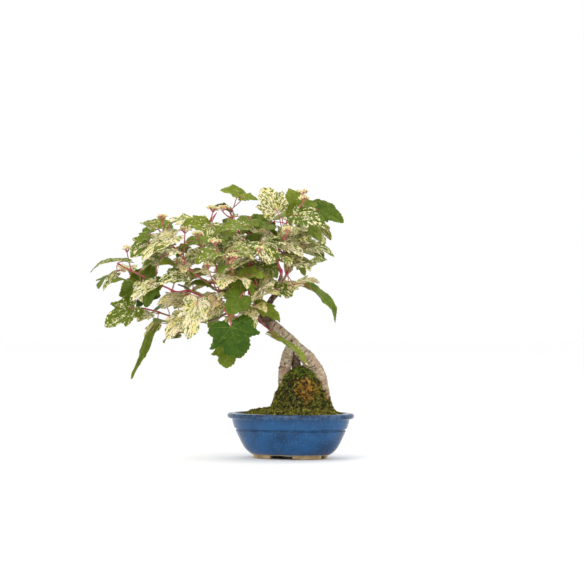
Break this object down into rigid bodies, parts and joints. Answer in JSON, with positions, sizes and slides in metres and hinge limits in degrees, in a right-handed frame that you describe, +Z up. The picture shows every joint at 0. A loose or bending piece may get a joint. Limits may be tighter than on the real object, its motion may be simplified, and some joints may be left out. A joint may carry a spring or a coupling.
{
  "type": "bonsai tree in a pot",
  "caption": "Leaning bonsai vine with lobed cream and green leaves, two root legs over a moss mound, in an oval blue glazed pot.",
  "frame": {"origin": "centre of the whole plant's bounding box, on the surface that the pot stands on", "axes": "+Z up, +X towards the pot's side and away from the lean of the crown, -Y the front"},
  "size_m": [0.33, 0.2072, 0.3456],
  "materials": {
    "pot_glaze": "gloss",
    "screen_mesh": "matte",
    "soil": "matte",
    "moss": "matte",
    "gold_moss": "matte",
    "bark": "matte",
    "green_stem": "satin",
    "buds": "matte",
    "leaf_green": "satin",
    "leaf_lime": "satin",
    "leaf_dark": "satin",
    "leaf_cream": "matte",
    "leaf_mottled": "satin"
  },
  "bodies": {
    "root": {"pot": "pot_glaze", "drain_screen_left": "screen_mesh", "drain_screen_right": "screen_mesh", "soil": "soil", "moss": "moss", "moss_cushion_gold": "gold_moss", "trunk": "bark", "shoot_left_main": "green_stem", "shoot_left_upper": "green_stem", "shoot_left_far": "green_stem", "shoot_left_low": "green_stem", "shoot_center": "green_stem", "twig_right": "bark", "shoot_right": "green_stem", "shoot_back": "green_stem", "shoot_back_right": "green_stem", "shoot_front": "green_stem", "buds_far_left": "buds", "buds_top_left": "buds", "buds_top_right": "buds", "buds_upper_left": "buds", "leaf_front_big": "leaf_green", "leaf_front_under": "leaf_lime", "leaf_trunk_narrow": "leaf_lime", "leaf_right_hanging": "leaf_green", "leaf_right_variegated": "leaf_mottled", "leaf_right_dark": "leaf_green", "leaf_top_right": "leaf_lime", "leaf_right_striped": "leaf_mottled", "leaf_top_cream": "leaf_cream", "leaf_top": "leaf_lime", "leaf_top_left": "leaf_lime", "leaf_left_top": "leaf_lime", "leaf_left_curl": "leaf_green", "leaf_left_cream": "leaf_cream", "leaf_far_left": "leaf_mottled", "leaf_left_dark": "leaf_dark", "leaf_left_mid": "leaf_green", "leaf_left_white": "leaf_cream", "leaf_low_left": "leaf_mottled", "leaf_hanging": "leaf_green", "leaf_white_a": "leaf_cream", "leaf_white_b": "leaf_cream", "leaf_white_c": "leaf_cream", "leaf_white_d": "leaf_cream", "leaf_center_bright": "leaf_green", "leaf_center_long": "leaf_cream", "leaf_center_back": "leaf_green", "leaf_center_spread": "leaf_mottled", "leaf_mid_left_a": "leaf_lime", "leaf_mid_left_b": "leaf_mottled", "leaf_mid_left_c": "leaf_lime", "leaf_mid_right": "leaf_cream", "leaf_twig_small": "leaf_mottled", "leaf_back_low": "leaf_green", "leaf_back_left": "leaf_mottled", "leaf_back_top": "leaf_lime", "leaf_back_mid": "leaf_cream", "leaf_back_right": "leaf_green", "leaf_back_crown": "leaf_mottled"}
  },
  "joints": []
}
